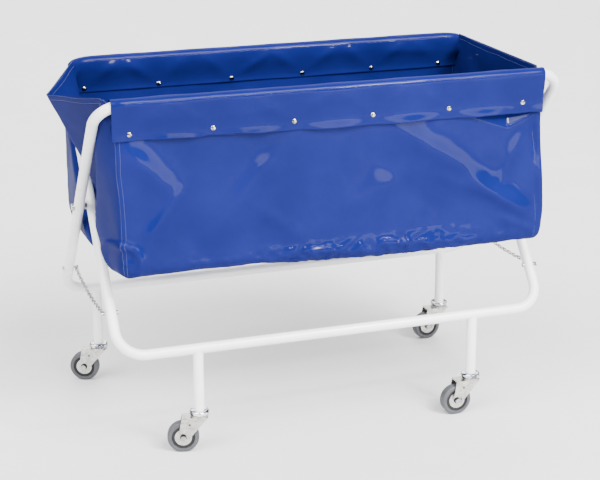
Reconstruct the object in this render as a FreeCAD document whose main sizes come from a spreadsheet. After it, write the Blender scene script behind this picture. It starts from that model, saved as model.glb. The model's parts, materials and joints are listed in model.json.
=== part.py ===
"""Folding linen trolley: two crossed tube frames, four swivel casters and a bag held by press studs.

The frame is in millimetres, with +Z up, +X along the rails to the right and -Y to the front. Its origin
is on the floor, midway between the casters. The outer frame leans to the front at its top, and the inner
frame leans to the rear. They cross at one pivot bolt on each end.
"""
import FreeCAD, Part
import math
import os
import Sketcher
from FreeCAD import Vector

SIZES = (
    ("tube_diameter", 25.0, "outer diameter of every frame tube"),
    ("tube_wall", 1.5, "wall of every frame tube"),
    ("bend_radius", 65.0, "centre-line radius of the frame corners"),
    ("frame_half_length", 560.0, "outer frame, centre to the axis of its side tube"),
    ("frame_gap", 5.0, "free gap between an outer and an inner side tube"),
    ("rail_reach", 386.0, "pivot to the axis of every rail, along the side tubes"),
    ("pivot_height", 548.0, "floor to the pivot bolts"),
    ("open_angle", 40.7, "side tubes from vertical, in degrees, when open"),
    ("front_leg_reach", 346.0, "centre to the front legs"),
    ("rear_leg_reach", 480.0, "centre to the rear legs"),
    ("running_clearance", 0.05, "radial clearance of a pin that turns in its bore"),
    ("side_clearance", 0.3, "gap between faces that slide past each other"),
    ("pivot_bolt_diameter", 8.0, "shank of the pivot bolts"),
    ("pivot_head_diameter", 17.0, "head of the pivot bolts, their nuts and spacers"),
    ("pivot_head_height", 5.0, "height of the pivot bolt heads"),
    ("pivot_nut_height", 6.5, "height of the pivot nuts"),
    ("chain_reach", 275.0, "pivot to the chain bolts, along the side tubes"),
    ("chain_bolt_diameter", 4.0, "shank of the chain bolts"),
    ("chain_head_diameter", 10.0, "heads of the chain bolts"),
    ("chain_head_height", 3.5, "height of the chain bolt heads"),
    ("chain_stand_off", 4.5, "tube face to the middle plane of the chain"),
    ("chain_wire", 2.4, "wire diameter of the chain links"),
    ("chain_pitch", 14.0, "link to link spacing, aimed at"),
    ("chain_link_width", 9.8, "outer width of a chain link"),
    ("chain_sag", 13.0, "drop of the chain at its middle"),
    ("link_play", 0.1, "gap between a chain bolt and the link on it"),
    ("link_overlap", 0.55, "how far a link passes the joint, in wire diameters"),
    ("wheel_diameter", 75.0, "outer diameter of the tyres"),
    ("tyre_width", 24.0, "width of the tyres"),
    ("tyre_rounding", 5.0, "rounding of the tyre shoulders"),
    ("tyre_depth", 10.0, "tyre, from its tread to the wheel centre"),
    ("core_width", 20.0, "width of the wheel centre at its rim"),
    ("hub_plate_diameter", 40.0, "bright plates on both sides of the wheel centre"),
    ("hub_plate_thickness", 1.2, "thickness of the hub plates"),
    ("hub_diameter", 16.0, "hub around the axle"),
    ("axle_diameter", 8.0, "shank of the axle bolts"),
    ("axle_head_diameter", 13.0, "head and nut of the axle bolts"),
    ("axle_head_height", 4.5, "height of the axle bolt heads and nuts"),
    ("fork_side_gap", 1.8, "tyre side to the inner face of the fork"),
    ("fork_sheet", 2.5, "sheet thickness of the fork"),
    ("fork_tyre_gap", 10.5, "top of the tyre to the underside of the fork plate"),
    ("fork_nose", 20.0, "swivel axis to the front end of the fork plate"),
    ("fork_boss_radius", 12.0, "radius of the fork ends around the axle"),
    ("fork_tail", 2.5, "fork plate beyond the axle, to the rear"),
    ("fork_hole_diameter", 5.0, "small hole in both sides of the fork"),
    ("fork_hole_reach", 23.4, "swivel axis to the small hole"),
    ("fork_hole_drop", 15.0, "underside of the fork plate to the small hole"),
    ("caster_trail", 39.0, "swivel axis to the axle"),
    ("race_diameter", 46.0, "bright swivel race"),
    ("race_height", 11.0, "height of the swivel race"),
    ("race_rounding", 4.0, "rounding of the swivel race"),
    ("seat_height", 4.0, "raised ball seat on the fork plate"),
    ("swivel_pin_diameter", 10.0, "pin of the caster stem"),
    ("swivel_rivet_diameter", 17.0, "rivet head under the fork plate"),
    ("swivel_rivet_height", 2.2, "height of the rivet head"),
    ("stem_plug_length", 40.0, "stem plug inside the leg"),
    ("stem_plug_clearance", 0.05, "radial clearance of the stem plug in the leg"),
    ("swivel_front_left", -14.0, "resting swivel angle of the caster, in degrees"),
    ("swivel_front_right", 0.0, "resting swivel angle of the caster, in degrees"),
    ("swivel_rear_left", -25.0, "resting swivel angle of the caster, in degrees"),
    ("swivel_rear_right", 3.0, "resting swivel angle of the caster, in degrees"),
    ("fabric_thickness", 1.2, "coated fabric"),
    ("fabric_clearance", 0.4, "fabric to what it passes round"),
    ("bag_bottom_height", 438.0, "floor to the bag's bottom"),
    ("bag_bottom_narrowing", 16.0, "each long wall, rail axis to its foot"),
    ("bag_nut_gap", 2.0, "pivot nut to the bag's end panel"),
    ("hem_left_reach", 522.0, "centre to the left end of the hems"),
    ("hem_right_reach", 508.0, "centre to the right end of the hems"),
    ("flap_drop", 90.0, "rail axis to the lower edge of the flaps"),
    ("stud_drop", 66.0, "rail axis to the row of press studs"),
    ("stud_diameter", 12.0, "press stud caps"),
    ("stud_crown_diameter", 7.2, "flat top of the press stud caps"),
    ("stud_height", 2.0, "height of the press stud caps"),
    ("stud_count", 6.0, "press studs in each row"),
    ("stud_pitch", 189.5, "spacing of the press studs"),
    ("stud_row_shift", 14.0, "centre to the middle of each stud row, to the left"),
    ("gusset_depth", 106.0, "how far the left gusset stands out of its end panel"),
    ("gusset_margin", 6.0, "edge of the end panel to the gusset's mouth"),
    ("gusset_apex_rise", 27.0, "pivot to the lowest point of the gusset"),
    ("gusset_crease_drop", 16.0, "rail axis height to the top of the gusset's crease"),
    ("end_panel_rise", 5.0, "rail axis height to the top of the end panels"),
    ("end_panel_tube_gap", 8.0, "rail face to the edge of an end panel"),
)

doc = FreeCAD.newDocument("LinenTrolley")
sheet = doc.addObject("Spreadsheet::Sheet", "Sizes")
for row, (alias, value, note) in enumerate(SIZES, 1):
    sheet.set("A%d" % row, alias)
    sheet.set("B%d" % row, "%g" % value)
    sheet.setAlias("B%d" % row, alias)
    sheet.set("C%d" % row, note)
doc.recompute()

# Derived sizes, as expressions on the sheet. cell() turns the plain names of a formula into sheet cells.
ALIASES = sorted((alias for alias, _, _ in SIZES), key=len, reverse=True)


def cell(formula):
    """Return a formula with each size name written as a reference to its cell."""
    out = ""
    word = ""
    for letter in formula + " ":
        if letter.isalnum() or letter == "_":
            word += letter
            continue
        out += "Sizes." + word if word in ALIASES else word
        out += letter
        word = ""
    return "(" + out.strip() + ")"


def amount(formula):
    """Return the present value of a formula."""
    result = sheet.evalExpression(formula)
    return float(getattr(result, "Value", result))


TUBE_R = cell("tube_diameter / 2")
TUBE_BORE_R = cell("tube_diameter / 2 - tube_wall")
INNER_HALF = cell("frame_half_length - tube_diameter - frame_gap")
OUTER_HALF = cell("frame_half_length")
SIDE_HALF = cell("rail_reach - bend_radius")
RAIL_Y = cell("rail_reach * sin(open_angle)")
TOP_RAIL_Z = cell("pivot_height + rail_reach * cos(open_angle)")
BOTTOM_RAIL_Z = cell("pivot_height - rail_reach * cos(open_angle)")
WHEEL_R = cell("wheel_diameter / 2")
FORK_INNER = cell("tyre_width / 2 + fork_side_gap")
FORK_OUTER = cell("tyre_width / 2 + fork_side_gap + fork_sheet")
FORK_UNDER = cell("wheel_diameter + fork_tyre_gap")
FORK_TOP = cell("wheel_diameter + fork_tyre_gap + fork_sheet")
SEAT_TOP = cell("wheel_diameter + fork_tyre_gap + fork_sheet + seat_height")
RACE_BOTTOM = "(%s + Sizes.side_clearance)" % SEAT_TOP
LEG_BOTTOM = "(%s + Sizes.race_height)" % RACE_BOTTOM
HUB_HALF = cell("tyre_width / 2 + fork_side_gap - side_clearance")
PARTS = []


def keep(node, label):
    """Give a finished piece its label and list it for export."""
    node.Label = label
    PARTS.append(node)
    return node


def place(node, x="0", y="0", z="0", axis="1; 0; 0", angle="0"):
    """Bind an object's place and turn to the sheet."""
    turn = "rotation(vector(%s); %s)" % (axis, angle)
    node.setExpression("Placement", "placement(vector(%s; %s; %s); %s)" % (x, y, z, turn))


# ---------------------------------------------------------------- sketch-based features

def new_sketch(body, role, x="0", y="0", z="0"):
    """Add a sketch on one of the body's origin planes, shifted in the sketch's own directions."""
    sketch = body.newObject("Sketcher::SketchObject", "Sketch")
    plane = [feature for feature in body.Origin.OriginFeatures if feature.Role == role][0]
    sketch.AttachmentSupport = (plane, [""])
    sketch.MapMode = "FlatFace"
    shift = "placement(vector(%s; %s; %s); rotation(vector(0; 0; 1); 0))" % (x, y, z)
    sketch.setExpression("AttachmentOffset", shift)
    return sketch


def add_circle(sketch, radius):
    """Draw a circle about the sketch's origin, its radius bound to the sheet."""
    index = sketch.addGeometry(Part.Circle(Vector(0, 0, 0), Vector(0, 0, 1), amount(radius)))
    sketch.addConstraint(Sketcher.Constraint("Coincident", index, 3, -1, 1))
    constraint = sketch.addConstraint(Sketcher.Constraint("Radius", index, amount(radius)))
    sketch.setExpression("Constraints[%d]" % constraint, radius)


def circle_sketch(body, role, radii, x="0", y="0", z="0"):
    """Add a sketch of concentric circles."""
    sketch = new_sketch(body, role, x, y, z)
    for radius in radii:
        add_circle(sketch, radius)
    return sketch


def pad(body, sketch, length, symmetric=False):
    feature = body.newObject("PartDesign::Pad", "Pad")
    feature.Profile = sketch
    feature.setExpression("Length", length)
    if symmetric:
        feature.SideType = "Symmetric"
    return feature


def cut_through(body, sketch):
    """Cut a profile through the whole body, to both sides of its plane."""
    feature = body.newObject("PartDesign::Pocket", "Pocket")
    feature.Profile = sketch
    feature.SideType = "Symmetric"
    feature.Type = "ThroughAll"
    return feature


def round_edges(body, radius_of_edge, rounding):
    """Round every circular edge of the given radius."""
    doc.recompute()
    base = body.Tip
    names = []
    for index, edge in enumerate(base.Shape.Edges, 1):
        circular = isinstance(edge.Curve, Part.Circle)
        if circular and abs(edge.Curve.Radius - radius_of_edge) < 1e-4:
            names.append("Edge%d" % index)
    feature = body.newObject("PartDesign::Fillet", "Fillet")
    feature.Base = (base, names)
    feature.setExpression("Radius", rounding)
    return feature


# ---------------------------------------------------------------- frame tubes

def arch_path(sketch, half, top):
    """Draw two quarter bends joined by a straight rail, in the plane of the frame."""
    bend = amount("Sizes.bend_radius")
    straight = half - bend
    left = Part.Circle(Vector(-straight, top - bend, 0), Vector(0, 0, 1), bend)
    right = Part.Circle(Vector(straight, top - bend, 0), Vector(0, 0, 1), bend)
    sketch.addGeometry(Part.ArcOfCircle(left, math.pi / 2, math.pi))
    sketch.addGeometry(Part.LineSegment(Vector(-straight, top, 0), Vector(straight, top, 0)))
    sketch.addGeometry(Part.ArcOfCircle(right, 0, math.pi / 2))


def rail(label, half, angle):
    """A rail with its two corner bends, swept along one path."""
    body = doc.addObject("PartDesign::Body", label)
    profile = circle_sketch(body, "XY_Plane", (TUBE_R, TUBE_BORE_R), x="-" + half, z=SIDE_HALF)
    path = new_sketch(body, "XZ_Plane")
    arch_path(path, amount(half), amount("Sizes.rail_reach"))
    doc.recompute()
    pipe = body.newObject("PartDesign::AdditivePipe", "Pipe")
    pipe.Profile = profile
    pipe.Spine = (path, [""])
    place(body, z="Sizes.pivot_height", angle=angle)
    keep(body, label)


def side_tube(label, x, angle, pivot_hole_radius):
    """A straight side tube with the holes for its pivot bolt and chain bolt."""
    body = doc.addObject("PartDesign::Body", label)
    pad(body, circle_sketch(body, "XY_Plane", (TUBE_R, TUBE_BORE_R), x=x), "2 * " + SIDE_HALF, True)
    cut_through(body, circle_sketch(body, "YZ_Plane", (pivot_hole_radius,)))
    chain_hole = cell("chain_bolt_diameter / 2")
    cut_through(body, circle_sketch(body, "YZ_Plane", (chain_hole,), y="-Sizes.chain_reach"))
    place(body, z="Sizes.pivot_height", angle=angle)
    keep(body, label)


def leg(label, x, y):
    """An upright leg, coped to the rail above it."""
    body = doc.addObject("PartDesign::Body", label)
    height = "(%s - %s)" % (BOTTOM_RAIL_Z, LEG_BOTTOM)
    pad(body, circle_sketch(body, "XY_Plane", (TUBE_R, TUBE_BORE_R)), height)
    cut_through(body, circle_sketch(body, "YZ_Plane", (TUBE_R,), y=height))
    place(body, x, y, LEG_BOTTOM)
    keep(body, label)


FRONT_TURN = "Sizes.open_angle"
REAR_TURN = "-Sizes.open_angle"
pin_radius = cell("pivot_bolt_diameter / 2")
free_radius = cell("pivot_bolt_diameter / 2 + running_clearance")
rail("outer_top_rail", OUTER_HALF, FRONT_TURN)
rail("outer_bottom_rail", OUTER_HALF, FRONT_TURN + " + 180")
side_tube("outer_side_left", "-" + OUTER_HALF, FRONT_TURN, pin_radius)
side_tube("outer_side_right", OUTER_HALF, FRONT_TURN, pin_radius)
leg("rear_leg_left", "-Sizes.rear_leg_reach", RAIL_Y)
leg("rear_leg_right", "Sizes.rear_leg_reach", RAIL_Y)
rail("inner_top_rail", INNER_HALF, REAR_TURN)
rail("inner_bottom_rail", INNER_HALF, REAR_TURN + " + 180")
side_tube("inner_side_left", "-" + INNER_HALF, REAR_TURN, free_radius)
side_tube("inner_side_right", INNER_HALF, REAR_TURN, free_radius)
leg("front_leg_left", "-Sizes.front_leg_reach", "-" + RAIL_Y)
leg("front_leg_right", "Sizes.front_leg_reach", "-" + RAIL_Y)


# ---------------------------------------------------------------- primitives and their groups

def cylinder_x(radius, start, length, y="0", z="0"):
    """A cylinder along +X, from start."""
    solid = doc.addObject("Part::Cylinder", "Cylinder")
    solid.setExpression("Radius", radius)
    solid.setExpression("Height", length)
    place(solid, start, y, z, "0; 1; 0", "90")
    return solid


def hexagon_x(across_corners, start, length, y="0", z="0"):
    """A hexagonal nut or head along +X, from start."""
    solid = doc.addObject("Part::Prism", "Hexagon")
    solid.Polygon = 6
    solid.setExpression("Circumradius", across_corners + " / 2")
    solid.setExpression("Height", length)
    place(solid, start, y, z, "0; 1; 0", "90")
    return solid


def fused(shapes):
    node = doc.addObject("Part::MultiFuse", "Fusion")
    node.Shapes = shapes
    return node


def less(base, tool):
    node = doc.addObject("Part::Cut", "Cut")
    node.Base = base
    node.Tool = tool
    return node


def group(label, shapes):
    """Separate solids that share one node."""
    node = doc.addObject("Part::Compound", label)
    node.Links = shapes
    keep(node, label)


def both_ends(label, shapes):
    """The same solids at the right end and, mirrored, at the left end."""
    mirrored = []
    for shape in shapes:
        mirror = doc.addObject("Part::Mirroring", "Mirror")
        mirror.Source = shape
        mirror.Normal = Vector(1, 0, 0)
        mirrored.append(mirror)
    group(label, shapes + mirrored)


INNER_FACE = "(%s - %s)" % (INNER_HALF, TUBE_R)
INNER_BACK = "(%s + %s)" % (INNER_HALF, TUBE_R)
OUTER_FACE = "(%s - %s)" % (OUTER_HALF, TUBE_R)
OUTER_BACK = "(%s + %s)" % (OUTER_HALF, TUBE_R)
NUT_FACE = "(%s - Sizes.side_clearance)" % INNER_FACE
NUT_END = "(%s - Sizes.pivot_nut_height)" % NUT_FACE
head_radius = cell("pivot_head_diameter / 2")
PIVOT = "Sizes.pivot_height"

shank = cylinder_x(pin_radius, NUT_END, "(%s - %s)" % (OUTER_BACK, NUT_END), z=PIVOT)
head = cylinder_x(head_radius, OUTER_BACK, "Sizes.pivot_head_height", z=PIVOT)
both_ends("pivot_bolts", [fused([shank, head])])

nut = hexagon_x("Sizes.pivot_head_diameter", NUT_END, "Sizes.pivot_nut_height", z=PIVOT)
nut_bore = cylinder_x(pin_radius, NUT_END, "Sizes.pivot_nut_height", z=PIVOT)
both_ends("pivot_nuts", [less(nut, nut_bore)])

spacer_length = "(Sizes.frame_gap - Sizes.side_clearance)"
spacer = cylinder_x(head_radius, "(%s + Sizes.side_clearance)" % INNER_BACK, spacer_length, z=PIVOT)
spacer_bore = cylinder_x(pin_radius, "(%s + Sizes.side_clearance)" % INNER_BACK, spacer_length, z=PIVOT)
both_ends("pivot_spacers", [less(spacer, spacer_bore)])


# ---------------------------------------------------------------- safety chains

CHAIN_Y = cell("chain_reach * sin(open_angle)")
CHAIN_Z = cell("pivot_height - chain_reach * cos(open_angle)")
CHAIN_GAP = cell("chain_stand_off + chain_wire")


def chain_bolt(face, away, length, y):
    """A bolt through a side tube, from the face where the chain hangs. away is the side of that face.

    A head on the far face and a keeper on the near one hold it, and the chain's last link is on its shank.
    """
    radius = cell("chain_bolt_diameter / 2")
    big = cell("chain_head_diameter / 2")
    high = "Sizes.chain_head_height"
    if away > 0:
        far = "(%s - %s)" % (face, length)
        keeper_start = "(%s + %s)" % (face, CHAIN_GAP)
        shaft_start = far
        head_start = "(%s - %s)" % (far, high)
    else:
        far = "(%s + %s)" % (face, length)
        shaft_start = "(%s - %s)" % (face, CHAIN_GAP)
        keeper_start = "(%s - %s)" % (shaft_start, high)
        head_start = far
    shaft = cylinder_x(radius, shaft_start, "(%s + %s)" % (length, CHAIN_GAP), y, CHAIN_Z)
    keeper = cylinder_x(big, keeper_start, high, y, CHAIN_Z)
    back = cylinder_x(big, head_start, high, y, CHAIN_Z)
    return fused([shaft, keeper, back])


both_ends("outer_chain_bolts", [chain_bolt(OUTER_FACE, -1, "Sizes.tube_diameter", CHAIN_Y)])
both_ends("inner_chain_bolts", [chain_bolt(INNER_BACK, 1, "Sizes.tube_diameter", "-" + CHAIN_Y)])


def chain_points():
    """Places of the link centres of the right chain, from the outer frame's bolt to the inner one's.

    The chain hangs in a shallow parabola. Its first and last links lie flat and are threaded on the
    bolts, so the number of links is odd.
    """
    half = amount(CHAIN_Y)
    sag = amount("Sizes.chain_sag")
    hook = amount(cell("chain_bolt_diameter / 2 + chain_wire / 2 + link_play - chain_wire * link_overlap"))
    half += hook
    count = 2 * round(half / amount("Sizes.chain_pitch")) + 1
    start_x = amount(OUTER_FACE) - amount("Sizes.chain_stand_off")
    end_x = amount(INNER_BACK) + amount("Sizes.chain_stand_off")
    points = []
    for index in range(count + 1):
        share = index / count
        drop = sag * (1 - (1 - 2 * share) ** 2)
        points.append(Vector(start_x + (end_x - start_x) * share, half * (1 - 2 * share),
                             amount(CHAIN_Z) - drop))
    return points


def link_shape(start, end, turned):
    """One closed oval link between two joints of the chain, flat or turned on edge."""
    wire = amount("Sizes.chain_wire")
    bend = (amount("Sizes.chain_link_width") - wire) / 2
    along = end - start
    half = along.Length / 2 + wire * amount("Sizes.link_overlap")
    flat = half - bend
    across = Vector(1, 0, 0) if turned else along.cross(Vector(1, 0, 0)).normalize()
    along.normalize()
    across = (across - along * across.dot(along)).normalize()
    centre = (start + end) / 2

    def at(forward, side):
        return centre + along * forward + across * side

    path = Part.Wire([
        Part.LineSegment(at(-flat, bend), at(flat, bend)).toShape(),
        Part.Arc(at(flat, bend), at(half, 0), at(flat, -bend)).toShape(),
        Part.LineSegment(at(flat, -bend), at(-flat, -bend)).toShape(),
        Part.Arc(at(-flat, -bend), at(-half, 0), at(-flat, bend)).toShape(),
    ])
    section = Part.Wire(Part.Circle(at(-flat, bend), along, wire / 2).toShape())
    return path.makePipeShell([section], True, True)


def chain_half(label, points, mirrored, first_turned):
    """One half of a chain, as separate links."""
    links = []
    for index in range(len(points) - 1):
        turned = (index + first_turned) % 2 == 0
        links.append(link_shape(points[index], points[index + 1], turned))
    shape = Part.makeCompound(links)
    if mirrored:
        shape = shape.mirror(Vector(0, 0, 0), Vector(1, 0, 0))
    node = doc.addObject("Part::Feature", label)
    node.Shape = shape
    keep(node, label)


points = chain_points()
middle = len(points) // 2
for end, mirrored in (("left", True), ("right", False)):
    chain_half("outer_chain_" + end, points[:middle + 1], mirrored, 1)
    chain_half("inner_chain_" + end, points[middle:], mirrored, 1 + middle)


# ---------------------------------------------------------------- casters

def cylinder_z(radius, start, length):
    solid = doc.addObject("Part::Cylinder", "Cylinder")
    solid.setExpression("Radius", radius)
    solid.setExpression("Height", length)
    place(solid, z=start)
    return solid


def cylinder_y(radius, start, length):
    """A cylinder along +Y on the axle's axis."""
    solid = doc.addObject("Part::Cylinder", "Cylinder")
    solid.setExpression("Radius", radius)
    solid.setExpression("Height", length)
    place(solid, "-Sizes.caster_trail", start, WHEEL_R, "1; 0; 0", "-90")
    return solid


def fork_outline(sketch):
    """The side of the fork: a plate edge, a straight rear edge, a round end and a sloping front edge."""
    axle = Vector(-amount("Sizes.caster_trail"), amount(WHEEL_R), 0)
    radius = amount("Sizes.fork_boss_radius")
    top = amount(FORK_TOP)
    nose = Vector(amount("Sizes.fork_nose"), top, 0)
    tail = Vector(axle.x - amount("Sizes.fork_tail"), top, 0)

    def touch(corner, side):
        """The point where a line from the corner touches the round end."""
        away = corner - axle
        turn = math.atan2(away.y, away.x) + side * math.acos(radius / away.Length)
        return axle + Vector(math.cos(turn), math.sin(turn), 0) * radius

    rear = touch(tail, 1)
    front = touch(nose, -1)
    lowest = axle + ((rear + front) / 2 - axle).normalize() * -radius
    sketch.addGeometry(Part.LineSegment(nose, tail))
    sketch.addGeometry(Part.LineSegment(tail, rear))
    sketch.addGeometry(Part.Arc(rear, lowest, front))
    sketch.addGeometry(Part.LineSegment(front, nose))


def fork(label):
    body = doc.addObject("PartDesign::Body", label)
    outline = new_sketch(body, "XZ_Plane")
    fork_outline(outline)
    pad(body, outline, "2 * " + FORK_OUTER, True)
    room = new_sketch(body, "XZ_Plane")
    reach = amount(cell("2 * caster_trail + 2 * fork_nose"))
    under = amount(FORK_UNDER)
    corners = [Vector(-reach, -under, 0), Vector(reach, -under, 0), Vector(reach, under, 0),
               Vector(-reach, under, 0)]
    for index, corner in enumerate(corners):
        room.addGeometry(Part.LineSegment(corner, corners[(index + 1) % 4]))
    doc.recompute()
    pocket = body.newObject("PartDesign::Pocket", "Pocket")
    pocket.Profile = room
    pocket.SideType = "Symmetric"
    pocket.setExpression("Length", "2 * " + FORK_INNER)
    seat = circle_sketch(body, "XY_Plane", (cell("race_diameter / 2 - race_rounding / 2"),), z=FORK_UNDER)
    pad(body, seat, cell("fork_sheet + seat_height"))
    cut_through(body, circle_sketch(body, "XY_Plane", (cell("swivel_pin_diameter / 2 + running_clearance"),)))
    axle_x = "-Sizes.caster_trail"
    cut_through(body, circle_sketch(body, "XZ_Plane", (cell("axle_diameter / 2"),), x=axle_x, y=WHEEL_R))
    small = (cell("fork_hole_diameter / 2"),)
    hole_x = "-Sizes.fork_hole_reach"
    hole_z = "(%s - Sizes.fork_hole_drop)" % FORK_UNDER
    cut_through(body, circle_sketch(body, "XZ_Plane", small, x=hole_x, y=hole_z))
    return body


def wheel_ring(label, outer, inner, width):
    """A ring about the axle."""
    body = doc.addObject("PartDesign::Body", label)
    ring = circle_sketch(body, "XZ_Plane", (outer, inner), x="-Sizes.caster_trail", y=WHEEL_R)
    pad(body, ring, width, True)
    return body


def tyre(label):
    body = wheel_ring(label, WHEEL_R, cell("wheel_diameter / 2 - tyre_depth"), "Sizes.tyre_width")
    round_edges(body, amount(WHEEL_R), "Sizes.tyre_rounding")
    return body


def wheel_core(label):
    """The wheel's centre: a rim disc and a longer hub, bored for the axle."""
    bore = cell("axle_diameter / 2 + running_clearance")
    body = wheel_ring(label, cell("wheel_diameter / 2 - tyre_depth"), bore, "Sizes.core_width")
    hub = circle_sketch(body, "XZ_Plane", (cell("hub_diameter / 2"), bore), x="-Sizes.caster_trail", y=WHEEL_R)
    pad(body, hub, "2 * " + HUB_HALF, True)
    return body


def hub_plates(label):
    """The two bright plates against the wheel's centre."""
    shapes = []
    for start in (cell("core_width / 2"), cell("-core_width / 2 - hub_plate_thickness")):
        plate = cylinder_y(cell("hub_plate_diameter / 2"), start, "Sizes.hub_plate_thickness")
        hole = cylinder_y(cell("hub_diameter / 2"), start, "Sizes.hub_plate_thickness")
        shapes.append(less(plate, hole))
    node = doc.addObject("Part::Compound", label)
    node.Links = shapes
    return node


def axle(label):
    """The axle bolt with its head and nut outside the fork."""
    shaft = cylinder_y(cell("axle_diameter / 2"), "-" + FORK_OUTER, "2 * " + FORK_OUTER)
    big = cell("axle_head_diameter / 2")
    first = cylinder_y(big, "(-%s - Sizes.axle_head_height)" % FORK_OUTER, "Sizes.axle_head_height")
    last = cylinder_y(big, FORK_OUTER, "Sizes.axle_head_height")
    return fused([shaft, first, last])


def stem(label):
    """The stem: a plug in the leg, the swivel pin and the rivet head under the fork plate."""
    rivet_top = "(%s - Sizes.side_clearance)" % FORK_UNDER
    rivet_start = "(%s - Sizes.swivel_rivet_height)" % rivet_top
    plug_radius = "(%s - Sizes.stem_plug_clearance)" % TUBE_BORE_R
    plug = cylinder_z(plug_radius, LEG_BOTTOM, "Sizes.stem_plug_length")
    pin = cylinder_z(cell("swivel_pin_diameter / 2"), rivet_start, "(%s - %s)" % (LEG_BOTTOM, rivet_start))
    rivet = cylinder_z(cell("swivel_rivet_diameter / 2"), rivet_start, "Sizes.swivel_rivet_height")
    return fused([plug, pin, rivet])


def race(label):
    body = doc.addObject("PartDesign::Body", label)
    radius = cell("race_diameter / 2")
    ring = circle_sketch(body, "XY_Plane", (radius, cell("swivel_pin_diameter / 2")), z=RACE_BOTTOM)
    pad(body, ring, "Sizes.race_height")
    round_edges(body, amount(radius), "Sizes.race_rounding")
    return body


CASTER_PIECES = (("stem", stem), ("race", race), ("fork", fork), ("axle", axle), ("tyre", tyre),
                 ("wheel_core", wheel_core), ("hub_plates", hub_plates))
CASTERS = (
    ("front_left", "-Sizes.front_leg_reach", "-" + RAIL_Y),
    ("front_right", "Sizes.front_leg_reach", "-" + RAIL_Y),
    ("rear_left", "-Sizes.rear_leg_reach", RAIL_Y),
    ("rear_right", "Sizes.rear_leg_reach", RAIL_Y),
)
for corner, x, y in CASTERS:
    for piece, make in CASTER_PIECES:
        label = "%s_%s" % (corner, piece)
        node = make(label)
        place(node, x, y, "0", "0; 0; 1", "Sizes.swivel_" + corner)
        keep(node, label)


# ---------------------------------------------------------------- bag

THICK = amount("Sizes.fabric_thickness")
GAP = amount("Sizes.fabric_clearance")


def soft(label, shape):
    node = doc.addObject("Part::Feature", label)
    node.Shape = shape.removeSplitter()
    keep(node, label)


def plate(corners, direction):
    """A flat plate: a polygon carried along a direction."""
    return Part.Face(Part.makePolygon(corners + corners[:1])).extrude(direction)


def cross_plate(points, left, right, thickness):
    """A plate from x = left to x = right, through two (y, z) points, thickened along Y."""
    (y1, z1), (y2, z2) = points
    corners = [Vector(left, y1, z1), Vector(right, y1, z1), Vector(right, y2, z2), Vector(left, y2, z2)]
    return plate(corners, Vector(0, thickness, 0))


def hem(label, side, half_rail):
    """A hem loop round one top rail, with its outer flap. side is -1 at the front and 1 at the rear.

    The loop covers the straight part of the rail. Its two plies, pressed together by the studs, run on
    to the ends of the bag.
    """
    y = side * amount(RAIL_Y)
    z = amount(TOP_RAIL_Z)
    inner_r = amount(TUBE_R) + GAP
    outer_r = inner_r + THICK
    straight = amount(half_rail) - amount("Sizes.bend_radius")
    left = -amount("Sizes.hem_left_reach")
    right = amount("Sizes.hem_right_reach")
    base = Vector(-straight, y, z)
    ring = Part.makeCylinder(outer_r, 2 * straight, base, Vector(1, 0, 0))
    ring = ring.cut(Part.makeCylinder(inner_r, 2 * straight, base, Vector(1, 0, 0)))
    upper = Part.makeBox(2 * straight, 2 * outer_r, outer_r, Vector(-straight, y - outer_r, z))
    loop = ring.common(upper)
    meet = z - amount("Sizes.stud_drop") + amount("Sizes.stud_diameter")
    low = {-side: z - amount("Sizes.stud_drop") - amount("Sizes.stud_diameter"),
           side: z - amount("Sizes.flap_drop")}
    for ply in (-1, 1):
        near = y + ply * GAP
        slant = cross_plate([(y + ply * inner_r, z), (near, meet)], -straight, straight, ply * THICK)
        pressed = cross_plate([(near, meet), (near, low[ply])], left, right, ply * THICK)
        loop = loop.fuse([slant, pressed])
    soft(label, loop)


def long_panel(label, side):
    """A long wall, from the inner ply of its hem down to the bag's bottom."""
    y = side * amount(RAIL_Y)
    top = amount(TOP_RAIL_Z) - amount("Sizes.stud_drop") - amount("Sizes.stud_diameter") - GAP
    foot = side * (amount(RAIL_Y) - amount("Sizes.bag_bottom_narrowing"))
    bottom = amount("Sizes.bag_bottom_height")
    line = [(y - side * GAP, top), (foot, bottom)]
    half = BAG_HALF - THICK - GAP
    soft(label, cross_plate(line, -half, half, -side * THICK))


BAG_HALF = amount(NUT_END) - amount("Sizes.bag_nut_gap")
BEND = amount("Sizes.bend_radius")
PAST_BEND = max(0.0, BAG_HALF - amount(INNER_HALF) + BEND)
BEND_DROP = BEND - math.sqrt(BEND ** 2 - PAST_BEND ** 2)
RAIL_Y_AT_END = (amount("Sizes.rail_reach") - BEND_DROP) * math.sin(math.radians(amount("Sizes.open_angle")))
EDGE_Y = RAIL_Y_AT_END - amount(TUBE_R) - amount("Sizes.end_panel_tube_gap")
END_TOP = amount(TOP_RAIL_Z) + amount("Sizes.end_panel_rise")
BOTTOM = amount("Sizes.bag_bottom_height")
FOOT = amount(RAIL_Y) - amount("Sizes.bag_bottom_narrowing") - 2 * THICK


def end_corners(x):
    """The outline of an end panel, seen along X."""
    return [Vector(x, -FOOT, BOTTOM), Vector(x, FOOT, BOTTOM), Vector(x, EDGE_Y, END_TOP),
            Vector(x, -EDGE_Y, END_TOP)]


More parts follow.
